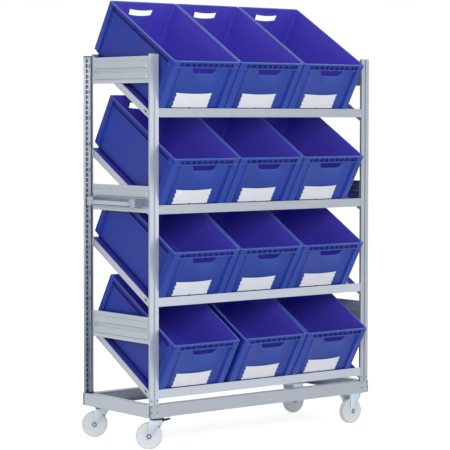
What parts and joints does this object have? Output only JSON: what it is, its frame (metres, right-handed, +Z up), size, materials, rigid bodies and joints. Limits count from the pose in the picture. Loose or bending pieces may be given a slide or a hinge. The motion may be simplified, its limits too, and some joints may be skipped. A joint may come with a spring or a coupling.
{
  "type": "mobile bin cart",
  "caption": "Wheeled steel rack with sloping shelves that hold open stacking bins at a picking angle, with a push handle and braked swivel casters at one end.",
  "frame": {"origin": "on the floor under the middle of the cart's box", "axes": "+Z up, +X along the rack away from the push handle, the bins face -Y"},
  "size_m": [1.416, 0.686, 2.114],
  "materials": {
    "galvanised": "galvanised sheet, satin spangle",
    "zinc": "bright zinc plated steel",
    "nylon": "white nylon, satin",
    "black_steel": "black coated steel",
    "blue_plastic": "moulded blue polypropylene, satin"
  },
  "bodies": {
    "frame": {"base_rail_front": "galvanised", "corner_gusset_front_left": "galvanised", "upright_front_left": "galvanised", "corner_gusset_front_right": "galvanised", "upright_front_right": "galvanised", "base_rail_rear": "galvanised", "corner_gusset_rear_left": "galvanised", "upright_rear_left": "galvanised", "corner_gusset_rear_right": "galvanised", "upright_rear_right": "galvanised", "base_rail_left": "galvanised", "side_panel_left_low": "galvanised", "side_panel_left_middle": "galvanised", "side_panel_left_top": "galvanised", "base_rail_right": "galvanised", "side_panel_right_low": "galvanised", "side_panel_right_middle": "galvanised", "side_panel_right_top": "galvanised", "front_beam_1": "galvanised", "shelf_1": "galvanised", "front_beam_2": "galvanised", "shelf_2": "galvanised", "front_beam_3": "galvanised", "shelf_3": "galvanised", "front_beam_4": "galvanised", "shelf_4": "galvanised", "push_handle": "galvanised", "swivel_plate_front": "zinc", "fixed_bracket_front": "zinc", "axle_front_right": "zinc", "swivel_plate_rear": "zinc", "fixed_bracket_rear": "zinc", "axle_rear_right": "zinc"},
    "swivel_fork_front": {"fork_front": "zinc", "pedal_pin_front": "zinc", "axle_front_left": "zinc"},
    "swivel_wheel_front": {"wheel_front_left": "nylon"},
    "brake_front": {"brake_pedal_front": "black_steel"},
    "fixed_wheel_front": {"wheel_front_right": "nylon"},
    "swivel_fork_rear": {"fork_rear": "zinc", "pedal_pin_rear": "zinc", "axle_rear_left": "zinc"},
    "swivel_wheel_rear": {"wheel_rear_left": "nylon"},
    "brake_rear": {"brake_pedal_rear": "black_steel"},
    "fixed_wheel_rear": {"wheel_rear_right": "nylon"},
    "bin_1_1": {"bin_1_1": "blue_plastic"},
    "bin_1_2": {"bin_1_2": "blue_plastic"},
    "bin_1_3": {"bin_1_3": "blue_plastic"},
    "bin_2_1": {"bin_2_1": "blue_plastic"},
    "bin_2_2": {"bin_2_2": "blue_plastic"},
    "bin_2_3": {"bin_2_3": "blue_plastic"},
    "bin_3_1": {"bin_3_1": "blue_plastic"},
    "bin_3_2": {"bin_3_2": "blue_plastic"},
    "bin_3_3": {"bin_3_3": "blue_plastic"},
    "bin_4_1": {"bin_4_1": "blue_plastic"},
    "bin_4_2": {"bin_4_2": "blue_plastic"},
    "bin_4_3": {"bin_4_3": "blue_plastic"}
  },
  "joints": [
    {"name": "caster_swivel_front", "type": "hinge", "parent": "frame", "child": "swivel_fork_front", "pos_m": [-0.601, -0.17409, 0.1457], "axis": [0, 0, 1], "continuous": true},
    {"name": "wheel_spin_front_left", "type": "hinge", "parent": "swivel_fork_front", "child": "swivel_wheel_front", "pos_m": [-0.62898, -0.15143, 0.0625], "axis": [-0.6293, -0.7771, 0], "continuous": true},
    {"name": "brake_press_front", "type": "hinge", "parent": "swivel_fork_front", "child": "brake_front", "pos_m": [-0.58623, -0.18605, 0.121], "axis": [0.6293, 0.7771, 0], "range_deg": [0, 10]},
    {"name": "wheel_spin_front_right", "type": "hinge", "parent": "frame", "child": "fixed_wheel_front", "pos_m": [0.631, -0.17409, 0.0625], "axis": [0, 1, 0], "continuous": true},
    {"name": "caster_swivel_rear", "type": "hinge", "parent": "frame", "child": "swivel_fork_rear", "pos_m": [-0.601, 0.26991, 0.1457], "axis": [0, 0, 1], "continuous": true},
    {"name": "wheel_spin_rear_left", "type": "hinge", "parent": "swivel_fork_rear", "child": "swivel_wheel_rear", "pos_m": [-0.62898, 0.29257, 0.0625], "axis": [-0.6293, -0.7771, 0], "continuous": true},
    {"name": "brake_press_rear", "type": "hinge", "parent": "swivel_fork_rear", "child": "brake_rear", "pos_m": [-0.58623, 0.25795, 0.121], "axis": [0.6293, 0.7771, 0], "range_deg": [0, 10]},
    {"name": "wheel_spin_rear_right", "type": "hinge", "parent": "frame", "child": "fixed_wheel_rear", "pos_m": [0.631, 0.26991, 0.0625], "axis": [0, 1, 0], "continuous": true},
    {"name": "bin_1_1_lift", "type": "slide", "parent": "frame", "child": "bin_1_1", "axis": [0, -0.5075, 0.8616], "range_m": [0, 0.06]},
    {"name": "bin_1_2_lift", "type": "slide", "parent": "frame", "child": "bin_1_2", "axis": [0, -0.5075, 0.8616], "range_m": [0, 0.06]},
    {"name": "bin_1_3_lift", "type": "slide", "parent": "frame", "child": "bin_1_3", "axis": [0, -0.5075, 0.8616], "range_m": [0, 0.06]},
    {"name": "bin_2_1_lift", "type": "slide", "parent": "frame", "child": "bin_2_1", "axis": [0, -0.5075, 0.8616], "range_m": [0, 0.06]},
    {"name": "bin_2_2_lift", "type": "slide", "parent": "frame", "child": "bin_2_2", "axis": [0, -0.5075, 0.8616], "range_m": [0, 0.06]},
    {"name": "bin_2_3_lift", "type": "slide", "parent": "frame", "child": "bin_2_3", "axis": [0, -0.5075, 0.8616], "range_m": [0, 0.06]},
    {"name": "bin_3_1_lift", "type": "slide", "parent": "frame", "child": "bin_3_1", "axis": [0, -0.5075, 0.8616], "range_m": [0, 0.06]},
    {"name": "bin_3_2_lift", "type": "slide", "parent": "frame", "child": "bin_3_2", "axis": [0, -0.5075, 0.8616], "range_m": [0, 0.06]},
    {"name": "bin_3_3_lift", "type": "slide", "parent": "frame", "child": "bin_3_3", "axis": [0, -0.5075, 0.8616], "range_m": [0, 0.06]},
    {"name": "bin_4_1_lift", "type": "slide", "parent": "frame", "child": "bin_4_1", "axis": [0, -0.5075, 0.8616], "range_m": [0, 0.28]},
    {"name": "bin_4_2_lift", "type": "slide", "parent": "frame", "child": "bin_4_2", "axis": [0, -0.5075, 0.8616], "range_m": [0, 0.28]},
    {"name": "bin_4_3_lift", "type": "slide", "parent": "frame", "child": "bin_4_3", "axis": [0, -0.5075, 0.8616], "range_m": [0, 0.28]}
  ]
}
